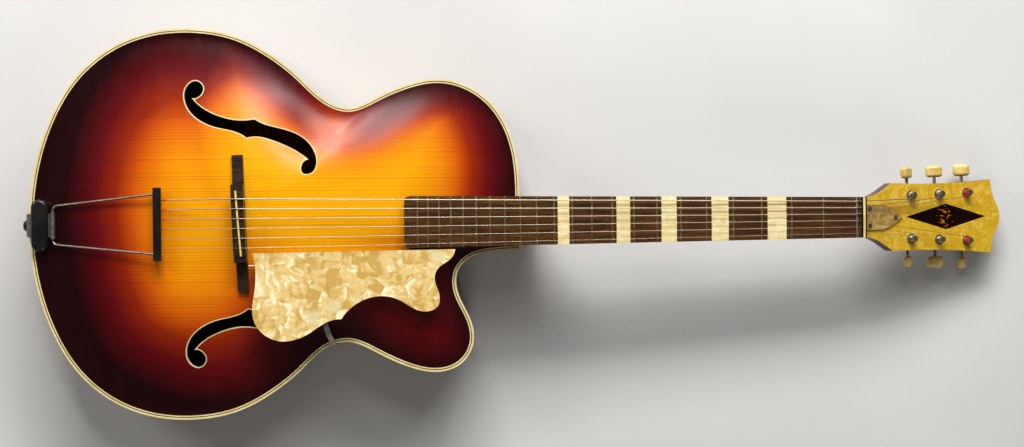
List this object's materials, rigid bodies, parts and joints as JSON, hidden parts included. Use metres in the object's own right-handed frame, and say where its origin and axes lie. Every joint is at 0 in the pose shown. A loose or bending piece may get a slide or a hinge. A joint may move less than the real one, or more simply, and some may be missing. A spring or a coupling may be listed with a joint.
{
  "type": "archtop guitar",
  "caption": "Hollow archtop acoustic guitar with one cutaway, f-holes, floating bridge, wire tailpiece, raised pickguard and open worm-gear tuners on a pearl-faced headstock.",
  "frame": {"origin": "middle of the overall length and width, at the lowest point of the arched back", "axes": "+X from the tail to the headstock, +Y to the bass strings, +Z out of the top"},
  "size_m": [1.054, 0.4064, 0.1337],
  "materials": {
    "top_spruce": "gloss sunburst lacquer",
    "maple": "gloss dark sunburst lacquer",
    "inner_wood": "bare",
    "cream_binding": "polished",
    "black_plastic": "polished",
    "neck_maple": "gloss lacquer",
    "rosewood": "oiled",
    "pearl_yellow": "pearl",
    "pearl_cream": "pearl",
    "tortoise": "polished",
    "fret_metal": "worn polish",
    "steel": "aged nickel plate",
    "ebonised": "semi-gloss",
    "button_cream": "polished",
    "string_steel": "bright",
    "brass_gear": "bare"
  },
  "bodies": {
    "body": {"top_plate": "top_spruce", "back_plate": "maple", "sides": "maple", "body_bindings": "cream_binding", "body_purfling": "black_plastic", "f_hole_bindings": "cream_binding", "body_blocks": "inner_wood", "linings": "inner_wood", "tone_bars": "inner_wood", "heel_cap": "cream_binding", "neck": "neck_maple", "headstock_face": "pearl_yellow", "headstock_lozenge": "tortoise", "fingerboard": "rosewood", "inlay_blocks": "pearl_cream", "frets": "fret_metal", "truss_rod": "steel", "truss_cover": "pearl_cream", "bridge_base": "ebonised", "bridge_studs": "steel", "nut": "cream_binding", "tailpiece_wire": "steel", "tailpiece_bar": "black_plastic", "tailpiece_hinge": "steel", "tailpiece_cap": "black_plastic", "end_pin": "black_plastic", "pickguard": "pearl_cream", "pickguard_fixings": "steel", "tuner_plates": "steel", "small_screws": "steel", "post_bushings": "steel", "string_1": "string_steel", "string_2": "string_steel", "string_3": "string_steel", "string_4": "string_steel", "string_5": "string_steel", "string_6": "string_steel"},
    "bridge_top": {"bridge_top": "ebonised", "saddle": "cream_binding"},
    "bass_thumbwheel": {"bass_thumbwheel": "steel"},
    "treble_thumbwheel": {"treble_thumbwheel": "steel"},
    "truss_rod_nut": {"truss_rod_nut": "brass_gear"},
    "key_1": {"tuner_button_1": "button_cream", "worm_shaft_1": "steel"},
    "post_1": {"string_post_1": "steel"},
    "key_2": {"tuner_button_2": "button_cream", "worm_shaft_2": "steel"},
    "post_2": {"string_post_2": "steel"},
    "key_3": {"tuner_button_3": "button_cream", "worm_shaft_3": "steel"},
    "post_3": {"string_post_3": "steel"},
    "key_4": {"tuner_button_4": "button_cream", "worm_shaft_4": "steel"},
    "post_4": {"string_post_4": "steel"},
    "key_5": {"tuner_button_5": "button_cream", "worm_shaft_5": "steel"},
    "post_5": {"string_post_5": "steel"},
    "key_6": {"tuner_button_6": "button_cream", "worm_shaft_6": "steel"},
    "post_6": {"string_post_6": "steel"}
  },
  "joints": [
    {"name": "bridge_height", "type": "slide", "parent": "body", "child": "bridge_top", "axis": [0, 0, 1], "range_m": [-0.0014, 0.0028], "deforming": ["string_1", "string_2", "string_3", "string_4", "string_5", "string_6"]},
    {"name": "bass_wheel_turn", "type": "hinge", "parent": "bridge_top", "child": "bass_thumbwheel", "pos_m": [-0.29321, 0.03268, 0.11967], "axis": [0, 0, 1], "range_deg": [-721, 1441]},
    {"name": "treble_wheel_turn", "type": "hinge", "parent": "bridge_top", "child": "treble_thumbwheel", "pos_m": [-0.2907, -0.03268, 0.11967], "axis": [0, 0, 1], "range_deg": [-721, 1441]},
    {"name": "truss_nut_turn", "type": "hinge", "parent": "body", "child": "truss_rod_nut", "pos_m": [0.37991, 0, 0.06714], "axis": [0.9976, 0, -0.0698], "range_deg": [-180, 180]},
    {"name": "key_turn_1", "type": "hinge", "parent": "body", "child": "key_1", "pos_m": [0.42161, -0.02364, 0.03653], "axis": [-0.0367, -0.9993, 0.0112], "continuous": true},
    {"name": "post_turn_1", "type": "hinge", "parent": "body", "child": "post_1", "pos_m": [0.41895, -0.0233, 0.05857], "axis": [0.2924, 0, 0.9563], "continuous": true, "deforming": ["string_1"]},
    {"name": "key_turn_2", "type": "hinge", "parent": "body", "child": "key_2", "pos_m": [0.45508, -0.02499, 0.02629], "axis": [-0.0367, -0.9993, 0.0112], "continuous": true},
    {"name": "post_turn_2", "type": "hinge", "parent": "body", "child": "post_2", "pos_m": [0.45242, -0.02465, 0.04834], "axis": [0.2924, 0, 0.9563], "continuous": true, "deforming": ["string_2"]},
    {"name": "key_turn_3", "type": "hinge", "parent": "body", "child": "key_3", "pos_m": [0.48856, -0.02634, 0.01606], "axis": [-0.0367, -0.9993, 0.0112], "continuous": true},
    {"name": "post_turn_3", "type": "hinge", "parent": "body", "child": "post_3", "pos_m": [0.48589, -0.02599, 0.0381], "axis": [0.2924, 0, 0.9563], "continuous": true, "deforming": ["string_3"]},
    {"name": "key_turn_4", "type": "hinge", "parent": "body", "child": "key_4", "pos_m": [0.48856, 0.02634, 0.01606], "axis": [0.0367, -0.9993, -0.0112], "continuous": true},
    {"name": "post_turn_4", "type": "hinge", "parent": "body", "child": "post_4", "pos_m": [0.48589, 0.02599, 0.0381], "axis": [0.2924, 0, 0.9563], "continuous": true, "deforming": ["string_4"]},
    {"name": "key_turn_5", "type": "hinge", "parent": "body", "child": "key_5", "pos_m": [0.45508, 0.02499, 0.02629], "axis": [0.0367, -0.9993, -0.0112], "continuous": true},
    {"name": "post_turn_5", "type": "hinge", "parent": "body", "child": "post_5", "pos_m": [0.45242, 0.02465, 0.04834], "axis": [0.2924, 0, 0.9563], "continuous": true, "deforming": ["string_5"]},
    {"name": "key_turn_6", "type": "hinge", "parent": "body", "child": "key_6", "pos_m": [0.42161, 0.02364, 0.03653], "axis": [0.0367, -0.9993, -0.0112], "continuous": true},
    {"name": "post_turn_6", "type": "hinge", "parent": "body", "child": "post_6", "pos_m": [0.41895, 0.0233, 0.05857], "axis": [0.2924, 0, 0.9563], "continuous": true, "deforming": ["string_6"]}
  ],
  "couplings": [
    {"joint": "bass_wheel_turn", "follows": "bridge_height", "rad_per_m": 8976},
    {"joint": "treble_wheel_turn", "follows": "bridge_height", "rad_per_m": 8976},
    {"joint": "post_turn_1", "follows": "key_turn_1", "ratio": 0.071429},
    {"joint": "post_turn_2", "follows": "key_turn_2", "ratio": 0.071429},
    {"joint": "post_turn_3", "follows": "key_turn_3", "ratio": 0.071429},
    {"joint": "post_turn_4", "follows": "key_turn_4", "ratio": 0.071429},
    {"joint": "post_turn_5", "follows": "key_turn_5", "ratio": 0.071429},
    {"joint": "post_turn_6", "follows": "key_turn_6", "ratio": 0.071429}
  ]
}
